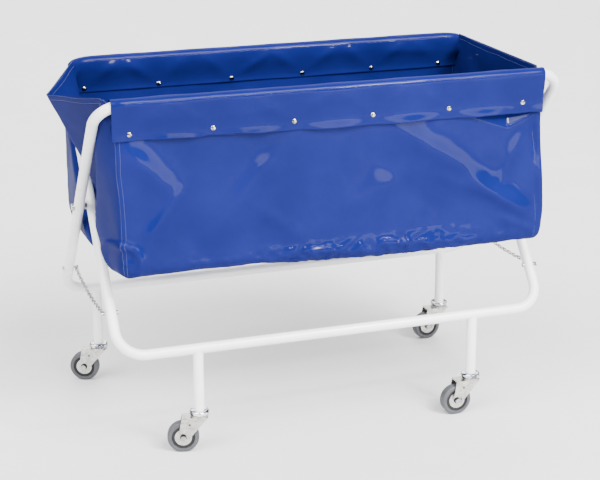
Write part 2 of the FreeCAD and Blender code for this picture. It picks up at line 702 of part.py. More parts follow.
def left_end(label):
    """The left end panel, with its folded gusset standing out between the side tubes."""
    x = -BAG_HALF
    depth = Vector(THICK, 0, 0)
    apex = Vector(x, 0, amount(PIVOT) + amount("Sizes.gusset_apex_rise"))
    width = EDGE_Y - amount("Sizes.gusset_margin")
    crease = Vector(x - amount("Sizes.gusset_depth"), 0,
                    amount(TOP_RAIL_Z) - amount("Sizes.gusset_crease_drop"))
    front = Vector(x, -width, END_TOP)
    rear = Vector(x, width, END_TOP)
    bottom_front, bottom_rear, top_rear, top_front = end_corners(x)
    flat = plate([bottom_front, bottom_rear, top_rear, rear, apex, front, top_front], depth)
    soft(label, flat.fuse([plate([apex, front, crease], depth), plate([apex, rear, crease], depth)]))


def right_end(label):
    soft(label, plate(end_corners(BAG_HALF - THICK), Vector(THICK, 0, 0)))


def bottom_panel(label):
    half = BAG_HALF - THICK - GAP
    soft(label, Part.makeBox(2 * half, 2 * (FOOT - GAP), THICK, Vector(-half, -FOOT + GAP, BOTTOM)))


def studs(label, side, face):
    """One row of press stud caps. face is 1 on the flap's outer side and -1 on the wall's inner side."""
    y = side * amount(RAIL_Y) + face * side * (GAP + THICK)
    z = amount(TOP_RAIL_Z) - amount("Sizes.stud_drop")
    count = round(amount("Sizes.stud_count"))
    pitch = amount("Sizes.stud_pitch")
    shift = amount("Sizes.stud_row_shift")
    radius = amount("Sizes.stud_diameter") / 2
    crown = amount("Sizes.stud_crown_diameter") / 2
    height = amount("Sizes.stud_height")
    caps = []
    for index in range(count):
        centre = Vector((index - (count - 1) / 2) * pitch - shift, y, z)
        caps.append(Part.makeCone(radius, crown, height, centre, Vector(0, face * side, 0)))
    node = doc.addObject("Part::Feature", label)
    node.Shape = Part.makeCompound(caps)
    keep(node, label)


for name, side, half_rail in (("front", -1, OUTER_HALF), ("rear", 1, INNER_HALF)):
    hem("bag_%s_hem" % name, side, half_rail)
    long_panel("bag_%s_panel" % name, side)
    studs("%s_stud_caps" % name, side, 1)
    studs("%s_stud_backs" % name, side, -1)
left_end("bag_left_end")
right_end("bag_right_end")
bottom_panel("bag_bottom")

# ---------------------------------------------------------------- checks and export

doc.recompute()
for item in doc.Objects:
    if "Invalid" in item.State or "Error" in item.State:
        raise RuntimeError("failed object: " + item.Label)
for node in PARTS:
    if node.Shape.isNull() or not node.Shape.isValid() or node.Shape.Volume <= 0:
        raise RuntimeError("bad shape: " + node.Label)
os.makedirs("parts", exist_ok=True)
for node in PARTS:
    node.Shape.exportStep("parts/%s.step" % node.Label)
print("pieces:", len(PARTS))
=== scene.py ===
"""Folding linen trolley, the looks: the coated fabric bag, its hems, seams and studs, and every finish.

Metres, in the frame of the CAD model: +Z up, -Y to the front. The bag's wall is one shell, carried by the outer
frame. Each hem rides with its own rail.
"""
import json
import math

import bmesh
import bpy
from mathutils import Matrix, Vector, noise
from mathutils.kdtree import KDTree


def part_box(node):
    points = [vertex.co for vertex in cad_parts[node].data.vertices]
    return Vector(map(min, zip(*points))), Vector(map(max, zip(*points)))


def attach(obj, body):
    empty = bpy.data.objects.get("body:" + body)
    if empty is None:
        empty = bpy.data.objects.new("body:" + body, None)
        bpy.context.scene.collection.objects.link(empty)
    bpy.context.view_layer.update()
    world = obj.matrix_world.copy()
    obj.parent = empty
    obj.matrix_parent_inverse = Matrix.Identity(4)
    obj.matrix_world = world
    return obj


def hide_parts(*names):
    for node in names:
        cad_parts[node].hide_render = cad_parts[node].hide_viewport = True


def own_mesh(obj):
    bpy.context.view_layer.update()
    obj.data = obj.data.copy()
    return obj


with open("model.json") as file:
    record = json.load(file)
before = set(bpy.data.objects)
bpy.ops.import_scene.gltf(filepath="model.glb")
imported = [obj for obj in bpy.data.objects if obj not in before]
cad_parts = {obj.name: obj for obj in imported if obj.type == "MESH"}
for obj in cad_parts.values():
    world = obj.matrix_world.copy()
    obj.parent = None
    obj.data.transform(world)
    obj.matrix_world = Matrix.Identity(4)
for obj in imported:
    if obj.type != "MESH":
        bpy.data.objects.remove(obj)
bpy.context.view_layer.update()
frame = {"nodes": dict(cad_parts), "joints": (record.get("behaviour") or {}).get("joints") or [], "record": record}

NODES = frame["nodes"]

# ---------------------------------------------------------------- sizes, most of them taken from the frame

LEG_LOW, LEG_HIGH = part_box("rear_leg_left")
TUBE_R = (LEG_HIGH[0] - LEG_LOW[0]) / 2
RAIL_LOW, RAIL_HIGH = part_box("outer_top_rail")
OUTER_HALF = RAIL_HIGH[0] - TUBE_R
INNER_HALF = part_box("inner_side_right")[1][0] - TUBE_R
RAIL_Y = -RAIL_LOW[1] - TUBE_R
RAIL_Z = RAIL_HIGH[2] - TUBE_R
FOLD = [joint for joint in frame["joints"] if joint["name"] == "fold"][0]
PIVOT_Z = FOLD["pos_m"][2]
BEND = 0.065              # centre-line radius of the frame corners
REACH = math.hypot(RAIL_Y, RAIL_Z - PIVOT_Z)
SLOPE = math.atan2(RAIL_Y, RAIL_Z - PIVOT_Z)
STUD_LOW, STUD_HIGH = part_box("front_stud_caps")
STUD_Z = (STUD_LOW[2] + STUD_HIGH[2]) / 2
STUD_R = (STUD_HIGH[2] - STUD_LOW[2]) / 2
STUD_COUNT = 6
STUD_FIRST = STUD_LOW[0] + STUD_R
STUD_PITCH = (STUD_HIGH[0] - STUD_R - STUD_FIRST) / (STUD_COUNT - 1)
BAG_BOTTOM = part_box("bag_bottom")[0][2]
CLOTH = 0.0009            # thickness of the fabric
WALL_GAP = 0.0022         # bag wall to the tubes
HEM_GAP = 0.0009          # hem to the tubes, at the least
HEM_SEAT = 0.0013         # rail to the middle of the hem that lies on it


def clamp(value, low=0.0, high=1.0):
    """A value held between two limits."""
    return max(low, min(high, value))


def smooth(value, start, end):
    """0 before start, 1 after end, and a soft step between."""
    share = clamp((value - start) / (end - start))
    return share * share * (3 - 2 * share)


def mix(a, b, share):
    """A value part of the way from a to b."""
    return a + (b - a) * share


# ---------------------------------------------------------------- materials

def new_material(name):
    """A new node material, with its tree and its Principled shader."""
    material = bpy.data.materials.new(name)
    material.use_nodes = True
    shader = material.node_tree.nodes["Principled BSDF"]
    return material, material.node_tree, shader


def add(tree, kind, **values):
    """Add a node and set its inputs, or its properties where it has no such input."""
    node = tree.nodes.new(kind)
    for key, value in values.items():
        if key in node.inputs:
            node.inputs[key].default_value = value
        else:
            setattr(node, key, value)
    return node


def place_texture(tree, node):
    """Feed a texture with the piece's own coordinates, which are metres."""
    coordinates = tree.nodes.new("ShaderNodeTexCoord")
    tree.links.new(coordinates.outputs["Object"], node.inputs["Vector"])
    return node


def noise_texture(tree, scale, detail=4.0, roughness=0.5):
    """A cloudy noise in the piece's own coordinates."""
    node = add(tree, "ShaderNodeTexNoise", Scale=scale, Detail=detail, Roughness=roughness)
    return place_texture(tree, node)


def ramp(tree, source, low, high, start=0.3, end=0.7):
    """A two-colour ramp driven by a texture's value."""
    node = tree.nodes.new("ShaderNodeValToRGB")
    node.color_ramp.elements[0].position = start
    node.color_ramp.elements[1].position = end
    node.color_ramp.elements[0].color = (*low, 1)
    node.color_ramp.elements[1].color = (*high, 1)
    tree.links.new(source, node.inputs["Fac"])
    return node


def spread_value(tree, source, low, high):
    """A value from 0 to 1, spread from low to high."""
    node = add(tree, "ShaderNodeMapRange")
    node.inputs["To Min"].default_value = low
    node.inputs["To Max"].default_value = high
    tree.links.new(source, node.inputs["Value"])
    return node.outputs["Result"]


def bump(tree, shader, height, distance, strength=1.0, before=None):
    """Bump the shader's normal by a height, on top of an earlier bump if there is one."""
    node = add(tree, "ShaderNodeBump", Strength=strength, Distance=distance)
    tree.links.new(height, node.inputs["Height"])
    if before is not None:
        tree.links.new(before.outputs["Normal"], node.inputs["Normal"])
    tree.links.new(node.outputs["Normal"], shader.inputs["Normal"])
    return node


def powder_coat():
    """White powder coat: a fine orange peel and a faint warm and cool drift."""
    material, tree, shader = new_material("white_powder_coat")
    drift = noise_texture(tree, 9.0, 3.0)
    tint = ramp(tree, drift.outputs["Fac"], (0.80, 0.80, 0.815), (0.87, 0.87, 0.88))
    tree.links.new(tint.outputs["Color"], shader.inputs["Base Color"])
    peel = noise_texture(tree, 900.0, 2.0)
    tree.links.new(spread_value(tree, drift.outputs["Fac"], 0.24, 0.36), shader.inputs["Roughness"])
    bump(tree, shader, peel.outputs["Fac"], 0.0001, 0.35)
    shader.inputs["Coat Weight"].default_value = 0.35
    shader.inputs["Coat Roughness"].default_value = 0.12
    return material


def metal(name, low, high, rough_low, rough_high, grain, plating_and_reflection_scale=60.0, edge=(0.3, 0.7)):
    """Plated metal: cloudy plating, fine grain and uneven polish. On the chrome, the hard, wide colour ramp makes
    the cloud a painted reflection.
    """
    material, tree, shader = new_material(name)
    shader.inputs["Metallic"].default_value = 1.0
    plating_and_reflection_cloud = noise_texture(tree, plating_and_reflection_scale, 5.0, 0.6)
    # base colour: plating tone, and on the chrome painted reflections of dark and bright patches
    tint = ramp(tree, plating_and_reflection_cloud.outputs["Fac"], low, high, *edge)
    tree.links.new(tint.outputs["Color"], shader.inputs["Base Color"])
    polish = spread_value(tree, plating_and_reflection_cloud.outputs["Fac"], rough_low, rough_high)
    tree.links.new(polish, shader.inputs["Roughness"])
    fine = noise_texture(tree, grain, 3.0, 0.7)
    bump(tree, shader, fine.outputs["Fac"], 0.00012, 0.3)
    return material


def rubber():
    """Grey tyre rubber: dusty patches and a fine moulded grain."""
    material, tree, shader = new_material("grey_tyre")
    dust = noise_texture(tree, 70.0, 6.0, 0.65)
    tint = ramp(tree, dust.outputs["Fac"], (0.040, 0.042, 0.047), (0.068, 0.069, 0.075))
    tree.links.new(tint.outputs["Color"], shader.inputs["Base Color"])
    tree.links.new(spread_value(tree, dust.outputs["Fac"], 0.42, 0.7), shader.inputs["Roughness"])
    grain = noise_texture(tree, 1200.0, 2.0)
    bump(tree, shader, grain.outputs["Fac"], 0.00015, 0.4)
    return material


def black_plastic():
    """Black moulded plastic of the wheel centres, dull and finely mottled."""
    material, tree, shader = new_material("black_wheel_centre")
    mould = noise_texture(tree, 300.0, 4.0)
    tint = ramp(tree, mould.outputs["Fac"], (0.008, 0.008, 0.009), (0.02, 0.02, 0.022))
    tree.links.new(tint.outputs["Color"], shader.inputs["Base Color"])
    tree.links.new(spread_value(tree, mould.outputs["Fac"], 0.28, 0.5), shader.inputs["Roughness"])
    bump(tree, shader, mould.outputs["Fac"], 0.0001, 0.3)
    shader.inputs["Specular IOR Level"].default_value = 0.25
    return material


def coated_fabric():
    """Blue PVC-coated cloth: the scrim shows faintly through a glossy, slightly rippled coat."""
    material, tree, shader = new_material("blue_coated_fabric")
    drift = noise_texture(tree, 6.0, 4.0, 0.55)
    tint = ramp(tree, drift.outputs["Fac"], (0.0046, 0.0078, 0.076), (0.0066, 0.0104, 0.098))
    tree.links.new(tint.outputs["Color"], shader.inputs["Base Color"])
    tree.links.new(spread_value(tree, drift.outputs["Fac"], 0.20, 0.30), shader.inputs["Roughness"])
    shader.inputs["Specular IOR Level"].default_value = 0.0
    shader.inputs["Coat Weight"].default_value = 0.13
    shader.inputs["Coat Roughness"].default_value = 0.07
    ripple = noise_texture(tree, 34.0, 3.0, 0.45)
    first = bump(tree, shader, ripple.outputs["Fac"], 0.0012, 0.55)
    warp = add(tree, "ShaderNodeTexWave", Scale=260.0, Distortion=0.6, wave_type="BANDS")
    warp.bands_direction = "X"
    weft = add(tree, "ShaderNodeTexWave", Scale=260.0, Distortion=0.6, wave_type="BANDS")
    weft.bands_direction = "Z"
    weave = add(tree, "ShaderNodeMath", operation="ADD")
    tree.links.new(place_texture(tree, warp).outputs["Fac"], weave.inputs[0])
    tree.links.new(place_texture(tree, weft).outputs["Fac"], weave.inputs[1])
    bump(tree, shader, weave.outputs["Value"], 0.00006, 0.35, first)
    return material


def thread():
    """Sewing thread, a little paler than the fabric."""
    material, tree, shader = new_material("thread")
    twist = noise_texture(tree, 1500.0, 2.0)
    tint = ramp(tree, twist.outputs["Fac"], (0.045, 0.060, 0.150), (0.110, 0.130, 0.250))
    tree.links.new(tint.outputs["Color"], shader.inputs["Base Color"])
    shader.inputs["Roughness"].default_value = 0.6
    bump(tree, shader, twist.outputs["Fac"], 0.0001, 0.5)
    return material


MATERIALS = {
    "white_powder_coat": powder_coat(),
    "zinc_plated_steel": metal("zinc_plated_steel", (0.30, 0.30, 0.30), (0.56, 0.56, 0.55), 0.16, 0.34,
                               900.0),
    "nickel_studs": metal("nickel_studs", (0.10, 0.095, 0.085), (0.62, 0.61, 0.57), 0.05, 0.12,
                          700.0, 170.0, (0.40, 0.60)),
    # chrome race: its hard dark and bright patches of base colour are painted reflections
    "chrome_race": metal("chrome_race", (0.13, 0.14, 0.17), (0.88, 0.88, 0.90), 0.04, 0.10,
                         500.0, 75.0, (0.42, 0.56)),
    "zinc_fork": metal("zinc_fork", (0.36, 0.35, 0.32), (0.66, 0.65, 0.61), 0.20, 0.36, 800.0, 90.0),
    "grey_tyre": rubber(),
    "black_wheel_centre": black_plastic(),
    "bright_hub_plate": metal("bright_hub_plate", (0.40, 0.39, 0.36), (0.68, 0.67, 0.63), 0.18, 0.36,
                              900.0, 110.0),
    "blue_coated_fabric": coated_fabric(),
    "thread": thread(),
}


def dress(piece, name):
    """Give a piece one material on every face."""
    piece.data.materials.clear()
    piece.data.materials.append(MATERIALS[name])


for part in frame["record"]["subparts"]:
    node_object = NODES[part["node"]]
    for material_slot in node_object.material_slots:
        material_slot.material = MATERIALS[part["material_slot"]]

# ---------------------------------------------------------------- the tubes that the cloth stays clear of


def rail_axis(side, x):
    """The axis point of a top rail or its bend, at a place along it. side is -1 front, 1 rear."""
    half = OUTER_HALF if side < 0 else INNER_HALF
    past = clamp(abs(x) - (half - BEND), 0.0, BEND * 0.98)
    reach = REACH - BEND + math.sqrt(BEND ** 2 - past ** 2)
    return side * reach * math.sin(SLOPE), PIVOT_Z + reach * math.cos(SLOPE)


def tube_axes(step=0.002):
    """Points along the axes of both frame loops."""
    places = []
    for side, half in ((-1, OUTER_HALF), (1, INNER_HALF)):
        def put(x, along):
            places.append(Vector((x, side * along * math.sin(SLOPE), PIVOT_Z + along * math.cos(SLOPE))))

        for index in range(int(2 * (half - BEND) / step) + 1):
            for along in (-REACH, REACH):
                put(-half + BEND + index * step, along)
        for index in range(int(2 * (REACH - BEND) / step) + 1):
            for x in (-half, half):
                put(x, -REACH + BEND + index * step)
        for index in range(int(BEND * math.pi / 2 / step) + 1):
            turn = index * step / BEND
            for x_side in (-1, 1):
                for end in (-1, 1):
                    put(x_side * (half - BEND + BEND * math.sin(turn)),
                        end * (REACH - BEND + BEND * math.cos(turn)))
    return places


def make_tree(points):
    """A tree that finds the nearest of many points."""
    tree = KDTree(len(points))
    for index, point in enumerate(points):
        tree.insert(point, index)
    tree.balance()
    return tree


TUBES = make_tree(tube_axes())


def clear_of_tubes(point, gap):
    """Push a point out of the tubes, straight away from the nearest axis."""
    nearest, _, distance = TUBES.find(point)
    least = TUBE_R + gap
    if distance < least:
        return nearest + (point - nearest).normalized() * least
    return point


def inside_tubes(place, gap=WALL_GAP):
    """Keep an end panel on the inner side of both side tubes where they cross it."""
    over = place.z - PIVOT_Z
    least = TUBE_R + gap
    for half, turn in ((INNER_HALF, -1), (OUTER_HALF, 1)):
        off = abs(place.y * math.cos(SLOPE) + turn * over * math.sin(SLOPE))
        if off < least and math.hypot(place.y, over) < REACH - 0.01:
            limit = half - math.sqrt(least ** 2 - off ** 2)
            place.x = clamp(place.x, -limit, limit)
    return place


# ---------------------------------------------------------------- bag shell

BAG_LEFT = -0.512
BAG_RIGHT = 0.514
BAG_DEPTH = 0.2435        # middle of the bag to a long wall
EDGE_R = 0.022            # rounding along the bottom
CORNER_R = 0.007          # rounding of the upright corners
CELL = 0.006              # size of one cell of the shell
WALL_TOP = STUD_Z + 0.030
END_TOP = RAIL_Z + 0.0125
GUSSET_TIP = Vector((-0.6100, 0.0, 0.825))
GUSSET_FOOT_Z = 0.578
FOLD_TOP = (-0.208, 0.792)  # upper end of the left end's upright fold: y and z
FOLD_RUN = 0.377          # how far that fold runs to the rear for each metre down
DENT_X = 0.424            # the dent under the front flap
DENT_Z = 0.716
DENT_SLOPES = (0.030, 0.080)  # height and half width of the dent
DENT_DEPTH = 0.016
CRUMPLE = (-0.516, 0.474)  # middle of the crumpled lower left corner: x and z
CRUMPLE_RING = 0.043      # radius of the ridge round that corner
RING_WIDTH = 0.008
BAND_HEIGHT = 0.055       # height of the crumpled band along the foot


def crease(u, v, start, end, width, height, taper=0.35):
    """A ridge along a line in the wall's plane: narrow at its top, with long soft flanks."""
    along_u = end[0] - start[0]
    along_v = end[1] - start[1]
    length = math.hypot(along_u, along_v)
    share = ((u - start[0]) * along_u + (v - start[1]) * along_v) / length ** 2
    off = ((u - start[0]) * along_v - (v - start[1]) * along_u) / length
    ends = smooth(share, -taper * 0.5, taper) * smooth(1 - share, -taper * 0.5, taper)
    return height * ends * math.exp(1 - math.sqrt(1 + 6 * (off / width) ** 2))


def ripple(point, scale, seed=0.0):
    """Smooth noise from -1 to 1."""
    return noise.noise(Vector((point.x * scale + seed, point.y * scale, point.z * scale - seed)))


def crinkle(point, scale, seed=0.0):
    """Sharp-ridged noise from 0 to 1, as in creased coated cloth."""
    spot = Vector((point.x * scale + seed, point.y * scale, point.z * scale * 1.7))
    return (1 - abs(noise.noise(spot))) ** 4


# Creases of a long wall: start and end as (x, z), width, height. A negative height is a hollow.
FRONT_CREASES = (
    ((-0.505, 0.748), (-0.380, 0.615), 0.045, 0.0085),
    ((-0.372, 0.640), (-0.450, 0.535), 0.022, 0.0075),
    ((-0.436, 0.560), (-0.470, 0.440), 0.030, 0.0080),
    ((-0.400, 0.560), (-0.300, 0.470), 0.060, -0.0050),
    ((-0.330, 0.480), (-0.130, 0.730), 0.060, 0.0070),
    ((-0.210, 0.590), (-0.070, 0.480), 0.030, 0.0040),
    ((0.130, 0.745), (0.470, 0.520), 0.050, 0.0090),
    ((0.060, 0.700), (0.300, 0.480), 0.060, -0.0050),
    ((0.330, 0.600), (0.520, 0.470), 0.024, 0.0075),
    ((0.400, 0.500), (0.525, 0.445), 0.016, 0.0045),
    ((0.230, 0.620), (0.520, 0.500), 0.030, 0.0050),
    ((0.490, 0.740), (0.505, 0.630), 0.012, -0.0080),
    ((0.515, 0.620), (0.523, 0.500), 0.012, 0.0060),
    ((0.000, 0.540), (0.200, 0.640), 0.060, 0.0050),
    ((0.455, 0.690), (0.400, 0.560), 0.020, 0.0040),
    ((-0.150, 0.470), (0.050, 0.452), 0.012, 0.0045),
    ((0.020, 0.465), (0.330, 0.446), 0.012, 0.0045),
)


def front_relief(point, front):
    """How far a long wall stands out at a place, in metres. The front has one dent more than the rear."""
    x, z = point.x, point.z
    out = 0.0035 * ripple(point, 5.0, 3.0) + 0.0012 * ripple(point, 16.0, 9.0)
    for start, end, width, height in FRONT_CREASES:
        out += crease(x, z, start, end, width, height)
    if front:
        dent = max(0.0, (z - DENT_Z) / DENT_SLOPES[0] - abs(x - DENT_X) / DENT_SLOPES[1])
        out -= DENT_DEPTH * min(1.0, dent)
    low = smooth(BAG_BOTTOM + BAND_HEIGHT - z, 0.0, 0.04)
    band = smooth(x, -0.30, -0.05) * smooth(0.45 - x, 0.0, 0.2)
    out += low * mix(0.30, 1.0, band) * (0.0075 * crinkle(point, 38.0) + 0.0036 * ripple(point, 46.0, 4.0))
    corner = math.hypot(x - CRUMPLE[0], z - CRUMPLE[1])
    out += 0.0085 * math.exp(-((corner - CRUMPLE_RING) / RING_WIDTH) ** 2)
    out += 0.0090 * math.exp(-(corner / 0.034) ** 2) * ripple(point, 50.0, 2.0)
    return out


def end_relief(point, side):
    """How far an end panel stands out. It is pinched where the inner frame's tube crosses it."""
    over = point.z - PIVOT_Z
    from_inner = abs(point.y * math.cos(SLOPE) - over * math.sin(SLOPE))
    room = smooth(from_inner, 0.016, 0.075)
    if side < 0:
        return left_relief(point, over, room)
    level = smooth(point.z, BAG_BOTTOM - 0.01, BAG_BOTTOM + 0.06) * smooth(END_TOP - point.z, 0.02, 0.13)
    out = 0.016 * room * mix(level, 1.0, 0.35 * smooth(0.6 - point.z, 0.0, 0.1))
    out *= 1 - min(1.0, abs(point.y) / BAG_DEPTH) ** 4
    return out + 0.0025 * ripple(point, 9.0, 5.0) * smooth(END_TOP - point.z, 0.0, 0.06) - 0.0025


def left_relief(point, over, room):
    """How far the left end stands out: a fold in front of the inner tube and a belly behind it."""
    y, z = point.y, point.z
    fold_y = FOLD_TOP[0] + (FOLD_TOP[1] - z) * FOLD_RUN
    low = smooth(z, BAG_BOTTOM - 0.030, BAG_BOTTOM + 0.060)
    high = smooth(END_TOP - z, -0.002, 0.045)
    crest = 0.029 * mix(0.35, 1.0, low) * mix(0.45, 1.0, high)
    if y < fold_y:
        out = crest * clamp((y + BAG_DEPTH) / (fold_y + BAG_DEPTH)) ** 0.8
    else:
        out = crest * (1 - smooth(y - fold_y, 0.0, 0.034))
    behind = y * math.cos(SLOPE) - over * math.sin(SLOPE)
    belly = 0.028 * smooth(behind, 0.015, 0.055) * mix(0.60, 1.0, low) * mix(0.5, 1.0, high)
    out = max(out, belly) * mix(1.0, room, smooth(point.y, -0.2, -0.12))
    corner = math.hypot((y + BAG_DEPTH) / 2.2, z - CRUMPLE[1])
    out += 0.0070 * math.exp(-((corner - CRUMPLE_RING) / RING_WIDTH) ** 2) * smooth(-y, 0.09, 0.14)
    wave = 0.0030 * ripple(point, 9.0, 5.0) + 0.0012 * ripple(point, 26.0, 8.0)
    return out + wave * smooth(END_TOP - z, 0.0, 0.06)


def gusset(point):
    """How far the left end's fold stands out between the crossed tubes."""
    rise = point.z - GUSSET_FOOT_Z
    if rise <= 0:
        return 0.0
    mouth = rise * math.tan(SLOPE) * 0.985 + 0.004
    depth = (BAG_LEFT - GUSSET_TIP.x) * rise / (GUSSET_TIP.z - GUSSET_FOOT_Z)
    share = 1 - abs(point.y) / mouth
    soft = 0.5 * (share + math.sqrt(share ** 2 + 0.004)) if share < 0.6 else share
    return max(0.0, depth * soft)


def shell_place(i, j, k, counts):
    """The place of one point of the bag's shell. i, j and k count along X, Y and up."""
    count_x, count_y, count_z = counts
    u = 2 * i / count_x - 1
    v = 2 * j / count_y - 1
    half_x = (BAG_RIGHT - BAG_LEFT) / 2
    on_end = i in (0, count_x)
    on_wall = j in (0, count_y)
    edge_share = smooth(abs(v) * BAG_DEPTH, BAG_DEPTH - 0.018, BAG_DEPTH)
    top = mix(END_TOP, WALL_TOP, edge_share) if on_end else WALL_TOP
    height = top - BAG_BOTTOM
    flat = Vector((u * half_x, v * BAG_DEPTH, k / count_z * height))
    round_r = mix(EDGE_R, CORNER_R, smooth(flat.z, 0.01, 0.07))
    core = Vector((clamp(flat.x, -half_x + round_r, half_x - round_r),
                   clamp(flat.y, -BAG_DEPTH + round_r, BAG_DEPTH - round_r), max(flat.z, round_r)))
    away = flat - core
    place = core + away.normalized() * round_r if away.length > 1e-9 else flat
    place.x += (BAG_LEFT + BAG_RIGHT) / 2
    place.z += BAG_BOTTOM
    if u < 0:
        forward = smooth(-v, -0.2, 0.6)
        place.x += u * u * mix(-0.001, -0.009, smooth(place.z, 0.50, 0.76)) * forward
    level = clamp((place.z - BAG_BOTTOM) / (RAIL_Z - BAG_BOTTOM))
    low = 1 - level
    place.x += (0.017 if place.x > 0 else 0.002) * (place.x / half_x) ** 3 * smooth(low, 0.1, 0.9)
    front = 1 if v < 0 else -1
    place.y -= front * 0.0075 * smooth(place.z, BAG_BOTTOM + 0.05, STUD_Z) * abs(v) ** 3
    under = smooth(BAG_BOTTOM + 0.08 - place.z, 0.0, 0.08)
    place.z -= under * 0.013 * smooth(place.x, -0.25, 0.20)
    middle = (1 - u * u) * (1 - v * v)
    if not on_end and not on_wall:
        place.z -= 0.016 * middle + 0.0025 * ripple(place, 12.0, 1.0)
    if on_wall or abs(v) > 0.9:
        spot = place if front > 0 else Vector((-place.x, place.y, place.z))
        place.y -= front * front_relief(spot, front > 0)
    near_end = smooth(abs(u) * half_x, half_x - 0.055, half_x)
    if near_end > 0:
        side = -1 if u < 0 else 1
        place.x += side * end_relief(place, side) * near_end
        if on_end and side < 0:
            out = gusset(place)
            place.x -= out
            drop = (END_TOP - GUSSET_TIP.z) / (BAG_LEFT - GUSSET_TIP.x)
            place.z -= out * drop * smooth(place.z, GUSSET_FOOT_Z, END_TOP)
    return clear_of_tubes(inside_tubes(place), WALL_GAP)


def lattice_counts():
    """How many cells the shell has along X, Y and up."""
    return (2 * round((BAG_RIGHT - BAG_LEFT) / CELL / 2), 2 * round(BAG_DEPTH / CELL),
            round((END_TOP - BAG_BOTTOM) / CELL))


def bag_shell():
    """The wall and bottom of the bag as one open shell of square cells."""
    counts = lattice_counts()
    count_x, count_y, count_z = counts
    numbers = {}
    places = []

    def vertex(i, j, k):
        if (i, j, k) not in numbers:
            numbers[i, j, k] = len(places)
            places.append(shell_place(i, j, k, counts))
        return numbers[i, j, k]

    faces = []
    for i in range(count_x):
        for j in range(count_y):
            faces.append([vertex(i, j, 0), vertex(i, j + 1, 0), vertex(i + 1, j + 1, 0), vertex(i + 1, j, 0)])
        for k in range(count_z):
            faces.append([vertex(i, 0, k), vertex(i + 1, 0, k), vertex(i + 1, 0, k + 1), vertex(i, 0, k + 1)])
            faces.append([vertex(i, count_y, k), vertex(i, count_y, k + 1), vertex(i + 1, count_y, k + 1),
                          vertex(i + 1, count_y, k)])
    for j in range(count_y):
        for k in range(count_z):
            faces.append([vertex(0, j, k), vertex(0, j, k + 1), vertex(0, j + 1, k + 1), vertex(0, j + 1, k)])
            faces.append([vertex(count_x, j, k), vertex(count_x, j + 1, k), vertex(count_x, j + 1, k + 1),
                          vertex(count_x, j, k + 1)])
    return new_mesh("bag_wall", places, faces), numbers, counts


def new_mesh(name, places, faces):
    """A smooth-shaded object from points and faces."""
    mesh = bpy.data.meshes.new(name)
    mesh.from_pydata([tuple(place) for place in places], [], faces)
    mesh.validate()
    mesh.shade_smooth()
    piece = bpy.data.objects.new(name, mesh)
    bpy.context.scene.collection.objects.link(piece)
    return piece


def thicken(piece, levels=1):
    """Give a sheet its thickness, after as many levels of smoothing as asked."""
    if levels:
        divide = piece.modifiers.new("smooth", "SUBSURF")
        divide.levels = levels
        divide.render_levels = levels
    solid = piece.modifiers.new("thickness", "SOLIDIFY")
    solid.thickness = CLOTH
    solid.offset = 0.0


STITCH_PITCH = 0.0042
STITCH_LENGTH = 0.0030
STITCH_R = 0.00030
STITCH_STEPS = 4          # spans along one stitch
STITCH_SIDES = 6          # corners of its section


def stitches(name, path, normals):
    """A row of short raised stitches along a path of points, as one mesh."""
    places = []
    faces = []
    travelled = 0.0
    goal = 0.0
    for index in range(len(path) - 1):
        a, b = path[index], path[index + 1]
        span = (b - a).length
        if span < 1e-9:
            continue
        forward = (b - a) / span
        while goal <= travelled + span:
            centre = a + forward * (goal - travelled)
            up = normals[index].normalized()
            side = forward.cross(up).normalized()
            first = len(places)
            for step in range(STITCH_STEPS + 1):
                share = step / STITCH_STEPS - 0.5
                lift = 0.00045 + 0.0004 * (1 - 4 * share * share)
                middle = centre + forward * share * STITCH_LENGTH + up * lift
                for corner in range(STITCH_SIDES):
                    turn = corner * math.pi / 3
                    spoke = side * math.cos(turn) + up * math.sin(turn)
                    places.append(middle + spoke * STITCH_R)
            for step in range(STITCH_STEPS):
                for corner in range(STITCH_SIDES):
                    one = first + step * STITCH_SIDES + corner
                    two = first + step * STITCH_SIDES + (corner + 1) % STITCH_SIDES
                    faces.append([one, two, two + STITCH_SIDES, one + STITCH_SIDES])
            last = first + STITCH_STEPS * STITCH_SIDES
            faces.append([first + corner for corner in range(STITCH_SIDES - 1, -1, -1)])
            faces.append([last + corner for corner in range(STITCH_SIDES)])
            goal += STITCH_PITCH
        travelled += span
    piece = new_mesh(name, places, faces)
    dress(piece, "thread")
    return piece


# ---------------------------------------------------------------- hems over the rails

HEM_LEFT = -0.528
HEM_RIGHT = 0.511
HEM_COLUMNS = 208
HEM_STEPS = (14, 10, 16)  # rows inside the bag, over the rail and down the flap
HEM_ROWS = sum(HEM_STEPS) + 1
FLAP_START = 16           # the first row of the flap's side seams


def stud_share(x):
    """0 at a stud and 1 midway between two."""
    phase = (x - STUD_FIRST) / STUD_PITCH
    return math.sin(math.pi * clamp(phase, -0.25, STUD_COUNT - 0.75)) ** 2


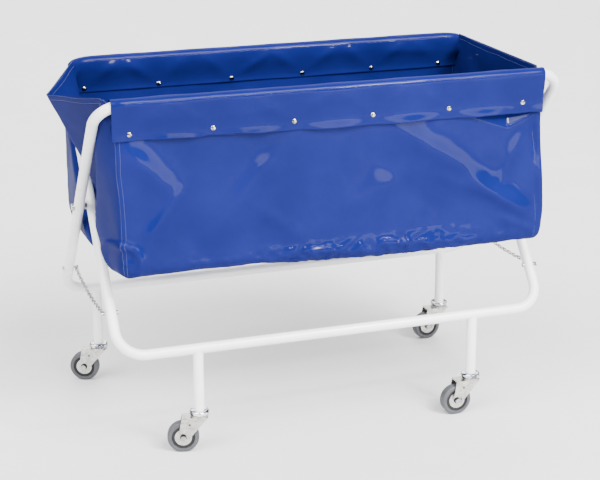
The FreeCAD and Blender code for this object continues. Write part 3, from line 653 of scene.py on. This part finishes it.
def hem_profile(side, x):
    """Points of a hem's section at x, from its inner lower edge over the rail to its flap's lower edge."""
    centre_y, centre_z = rail_axis(side, x)
    centre_z = mix(centre_z, RAIL_Z, 0.75)
    radius = TUBE_R + HEM_SEAT
    between = stud_share(x)
    seed = 11.0 if side < 0 else 31.0
    wave = ripple(Vector((x, side, 0)), 7.0, seed)
    wave_fine = ripple(Vector((x, side, 0)), 19.0, seed)
    press_y = side * RAIL_Y
    inner_low = STUD_Z - 0.010 + 0.002 * wave
    slope_low = mix(0.0, -0.010, smooth(x, -0.52, 0.2))
    outer_low = RAIL_Z - 0.081 + slope_low + 0.006 * wave * between + 0.003 * wave_fine
    points = []
    low_steps, arc_steps, flap_steps = HEM_STEPS
    slack = 0.0008 + between * 0.0030 * (0.5 + 0.5 * ripple(Vector((x, side, 0)), 11.0, seed + 2))
    for step in range(low_steps):
        share = step / low_steps
        z = mix(inner_low, centre_z, share)
        above = clamp((z - STUD_Z) / (centre_z - STUD_Z))
        y = mix(press_y - side * 0.0022, centre_y - side * (radius + slack), smooth(above, -0.1, 0.95))
        y -= side * drape(x, z, seed) * math.sin(math.pi * clamp(above, 0.0, 1.0)) ** 0.7
        points.append(Vector((x, y, z)))
    for step in range(arc_steps + 1):
        turn = math.pi * step / arc_steps
        crown = slack * (0.5 + 0.5 * ripple(Vector((x, turn * 0.05, side)), 23.0, seed))
        points.append(Vector((x, centre_y - side * (radius + slack) * math.cos(turn),
                              centre_z + (radius + crown) * math.sin(turn))))
    for step in range(1, flap_steps + 1):
        share = step / flap_steps
        z = mix(centre_z, outer_low, share)
        above = (z - STUD_Z) / (centre_z - STUD_Z)
        at_stud = press_y + side * (0.0022 + 0.0060 * between)
        y = mix(at_stud, centre_y + side * (radius + slack), clamp(above, 0.0, 1.0) ** 1.25)
        flare = smooth(-above, 0.0, 0.4) * (0.0008 + between * (0.0015 + 0.002 * wave))
        fold = 0.6 * drape(x, z, seed + 9.0) * math.sin(math.pi * clamp(share, 0.0, 1.0)) ** 0.8
        y += side * (flare + fold)
        points.append(Vector((x, y, z)))
    return points


def drape(x, z, seed):
    """Folds that fan up from the studs, and one soft long fold that wanders along the hem."""
    phase = (x - STUD_FIRST) / STUD_PITCH
    number = round(phase)
    from_stud = (phase - number) * STUD_PITCH
    rise = z - STUD_Z
    out = 0.0
    for turn in (-1, 1):
        lean = 0.7 + 0.6 * noise.noise(Vector((number * 3.7 + turn, seed, 0)))
        off = (from_stud * turn - rise * (0.5 + lean)) / 0.016
        out += 0.0042 * math.exp(1 - math.sqrt(1 + off * off)) * (0.6 + lean * 0.5)
    long_fold = (rise - 0.040 - 0.012 * math.sin(x * 9.0 + seed)) / 0.007
    swell = 0.5 + 0.5 * math.sin(x * 6.3 + seed * 2)
    out += 0.0022 * math.exp(1 - math.sqrt(1 + long_fold * long_fold)) * swell
    return out * min(1.0, 0.25 + stud_share(x) * 1.2)


def hem(name, side):
    """A hem sheet over one top rail, from inside the bag to the lower edge of its flap."""
    places = []
    for column in range(HEM_COLUMNS + 1):
        x = mix(HEM_LEFT, HEM_RIGHT, column / HEM_COLUMNS)
        for point in hem_profile(side, x):
            places.append(clear_of_tubes(point, HEM_GAP))
    faces = []
    for column in range(HEM_COLUMNS):
        for row in range(HEM_ROWS - 1):
            a = column * HEM_ROWS + row
            b = a + HEM_ROWS
            faces.append([a, a + 1, b + 1, b] if side > 0 else [a, b, b + 1, a + 1])
    return new_mesh(name, places, faces)


# ---------------------------------------------------------------- press studs

# A cap's section, from its rim to its crown: radius and lift, as shares of the cap's radius.
STUD_PROFILE = ((1.0, 0.0), (1.04, 0.10), (1.0, 0.20), (0.86, 0.34), (0.62, 0.46), (0.34, 0.54), (0.12, 0.57))
STUD_SIDES = 20


def stud(name, side, face):
    """One row of domed press stud caps on one face of a hem."""
    places = []
    faces = []
    for index in range(STUD_COUNT):
        x = STUD_FIRST + index * STUD_PITCH
        away = side * face
        base_y = side * RAIL_Y + away * 0.0030
        first = len(places)
        for radius, lift in STUD_PROFILE:
            for corner in range(STUD_SIDES):
                turn = 2 * math.pi * corner / STUD_SIDES
                places.append(Vector((x + STUD_R * radius * math.cos(turn), base_y + away * STUD_R * lift,
                                      STUD_Z + STUD_R * radius * math.sin(turn))))
        for level in range(len(STUD_PROFILE) - 1):
            for corner in range(STUD_SIDES):
                a = first + level * STUD_SIDES + corner
                b = first + level * STUD_SIDES + (corner + 1) % STUD_SIDES
                faces.append([a, b, b + STUD_SIDES, a + STUD_SIDES])
        last = first + (len(STUD_PROFILE) - 1) * STUD_SIDES
        faces.append([last + corner for corner in range(STUD_SIDES)])
        faces.append([first + corner for corner in range(STUD_SIDES - 1, -1, -1)])
    piece = new_mesh(name, places, faces)
    mesh = bmesh.new()
    mesh.from_mesh(piece.data)
    bmesh.ops.recalc_face_normals(mesh, faces=mesh.faces)
    mesh.to_mesh(piece.data)
    mesh.free()
    dress(piece, "nickel_studs")
    return piece


# ---------------------------------------------------------------- build the bag

wall, wall_numbers, wall_counts = bag_shell()
dress(wall, "blue_coated_fabric")
SHELL = [vertex.co.copy() for vertex in wall.data.vertices]
wall.data.update()
SHELL_NORMALS = [vertex.normal.copy() for vertex in wall.data.vertices]
thicken(wall, 0)
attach(wall, "outer_frame")
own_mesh(wall)
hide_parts("bag_front_panel", "bag_rear_panel", "bag_left_end", "bag_right_end", "bag_bottom")


def shell_line(cells, toward, share):
    """Points and normals on the shell through lattice points, moved part of the way to a second line."""
    points = []
    normals = []
    for index, key in enumerate(cells):
        number = wall_numbers[key]
        point = SHELL[number].copy()
        wander = share + 0.22 * ripple(point, 13.0, 6.0)
        points.append(point + (SHELL[wall_numbers[toward[index]]] - point) * wander)
        normals.append(SHELL_NORMALS[number])
    return points, normals


def finer(points, normals, parts=4):
    """The same line through more points, on a smooth curve."""
    out_points = []
    out_normals = []
    for index in range(len(points) - 1):
        before = points[max(index - 1, 0)]
        a, b = points[index], points[index + 1]
        after = points[min(index + 2, len(points) - 1)]
        for part in range(parts):
            t = part / parts
            spot = 0.5 * ((2 * a) + (b - before) * t + (2 * before - 5 * a + 4 * b - after) * t * t
                          + (3 * a - before - 3 * b + after) * t ** 3)
            out_points.append(spot)
            out_normals.append(normals[index].lerp(normals[index + 1], t))
    return out_points, out_normals


def wall_seam(name, cells, toward, shares, inward=False):
    """Stitch rows along a line of the shell, on its outer face or on its inner one."""
    for number, share in enumerate(shares):
        points, normals = shell_line(cells, toward, share)
        if inward:
            normals = [-normal for normal in normals]
        points, normals = finer(points, normals)
        row = stitches("%s_%d" % (name, number), points, normals)
        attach(row, "outer_frame")
        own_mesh(row)


def bag_seams():
    """The upright seams at the four corners, and the hemmed top edge of both end panels."""
    count_x, count_y, count_z = wall_counts
    for j, word in ((0, "front"), (count_y, "rear")):
        for i, beside_i, word_x, shares in ((0, 2, "left", (0.08, 0.95)),
                                            (count_x, count_x - 4, "right", (0.40, 0.88))):
            column = [(i, j, k) for k in range(1, count_z)]
            beside = [(beside_i, j, k) for k in range(1, count_z)]
            wall_seam("seam_%s_%s" % (word, word_x), column, beside, shares)
    for i, word in ((0, "left"), (count_x, "right")):
        top_row = [(i, j, count_z) for j in range(2, count_y - 1)]
        below = [(i, j, count_z - 3) for j in range(2, count_y - 1)]
        wall_seam("end_hem_%s_out" % word, top_row, below, (0.12, 0.80))
        wall_seam("end_hem_%s_in" % word, top_row, below, (0.12, 0.80), inward=True)


bag_seams()


def dressed_hem(side, body, word):
    """One hem with its studs and its flap's side seams, all on one frame. side is -1 front, 1 rear."""
    sheet = hem("%s_hem" % word, side)
    dress(sheet, "blue_coated_fabric")
    sheet.data.update()
    places = [vertex.co.copy() for vertex in sheet.data.vertices]
    normals = [vertex.normal.copy() for vertex in sheet.data.vertices]
    thicken(sheet)
    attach(sheet, body)
    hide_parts("bag_%s_hem" % word)
    seams = []
    for end, column in (("left", 2), ("right", HEM_COLUMNS - 2)):
        numbers = [column * HEM_ROWS + row for row in range(FLAP_START, HEM_ROWS)]
        line, away = finer([places[number] for number in numbers], [normals[number] for number in numbers])
        seams.append(stitches("%s_flap_side_%s" % (word, end), line, away))
    for face, label in ((1, "caps"), (-1, "backs")):
        row = stud("%s_studs_%s" % (word, label), side, face)
        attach(row, body)
        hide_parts("%s_stud_%s" % (word, label))
    for row in seams:
        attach(row, body)


dressed_hem(-1, "outer_frame", "front")
dressed_hem(1, "inner_frame", "rear")

# ---------------------------------------------------------------- studio, light and camera

FLOOR_HALF = 9
WORLD_STRENGTH = 0.7
CAMERA_PLACE = (-1.2055, -3.5546, 1.5975)
CAMERA_YAW = 18.57        # degrees to the right of +Y
CAMERA_PITCH = 17.61      # degrees down
CAMERA_ROLL = -0.27
CAMERA_LENS = 94.94


def studio():
    """A flat pale floor that fills the picture, under an even white world."""
    corners = [(x * FLOOR_HALF, y * FLOOR_HALF, 0) for x, y in ((-1, -1), (1, -1), (1, 1), (-1, 1))]
    floor = new_mesh("studio_floor", corners, [[0, 1, 2, 3]])
    material, tree, shader = new_material("studio_floor")
    grain = noise_texture(tree, 3.0, 2.0)
    tint = ramp(tree, grain.outputs["Fac"], (0.66, 0.66, 0.66), (0.69, 0.69, 0.69))
    tree.links.new(tint.outputs["Color"], shader.inputs["Base Color"])
    shader.inputs["Roughness"].default_value = 0.7
    floor.data.materials.append(material)
    world = bpy.data.worlds.new("studio_world")
    bpy.context.scene.world = world
    world.use_nodes = True
    background = world.node_tree.nodes["Background"]
    background.inputs["Color"].default_value = (1.0, 1.0, 1.0, 1)
    background.inputs["Strength"].default_value = WORLD_STRENGTH


def area_light(name, place, target, size, power):
    """A rectangular light that faces its target."""
    data = bpy.data.lights.new(name, "AREA")
    data.shape = "RECTANGLE"
    data.size, data.size_y = size
    data.energy = power
    lamp = bpy.data.objects.new(name, data)
    lamp.location = place
    lamp.rotation_euler = (Vector(target) - Vector(place)).to_track_quat("-Z", "Y").to_euler()
    bpy.context.scene.collection.objects.link(lamp)


def sun_light(name, toward, strength, spread):
    """A wide soft source, which lights the whole floor evenly."""
    data = bpy.data.lights.new(name, "SUN")
    data.energy = strength
    data.angle = math.radians(spread)
    lamp = bpy.data.objects.new(name, data)
    lamp.rotation_euler = Vector(toward).to_track_quat("Z", "Y").to_euler()
    bpy.context.scene.collection.objects.link(lamp)


def camera():
    """The camera that stands to the front left and looks slightly down."""
    data = bpy.data.cameras.new("camera")
    data.lens = CAMERA_LENS
    data.sensor_width = 36.0
    lens = bpy.data.objects.new("camera", data)
    yaw, pitch, roll = math.radians(CAMERA_YAW), math.radians(CAMERA_PITCH), math.radians(CAMERA_ROLL)
    turn = (Matrix.Rotation(-yaw, 4, "Z") @ Matrix.Rotation(math.pi / 2 - pitch, 4, "X")
            @ Matrix.Rotation(roll, 4, "Z"))
    lens.matrix_world = Matrix.Translation(CAMERA_PLACE) @ turn
    bpy.context.scene.collection.objects.link(lens)
    bpy.context.scene.camera = lens


studio()
camera()
sun_light("panel_right", (0.9, -2.2, 2.5), 6.4, 34)
sun_light("panel_left", (-1.7, -1.3, 2.6), 4.0, 40)
sun_light("panel_side", (-2.4, 0.1, 2.0), 1.7, 45)
sun_light("panel_rear", (0.6, 2.3, 2.4), 2.4, 50)
area_light("key_light", (1.25, -2.5, 2.6), (0.3, -0.2, 0.6), (0.40, 0.30), 75)
area_light("strip_light", (1.2, -3.6, 2.1), (0.1, 0, 0.5), (2.6, 0.05), 80)
area_light("high_strip", (0.9, -2.4, 3.3), (0.1, 0, 0.5), (2.2, 0.06), 40)
area_light("front_light", (1.3, -3.4, 0.45), (0.1, 0, 0.45), (2.4, 0.5), 42)
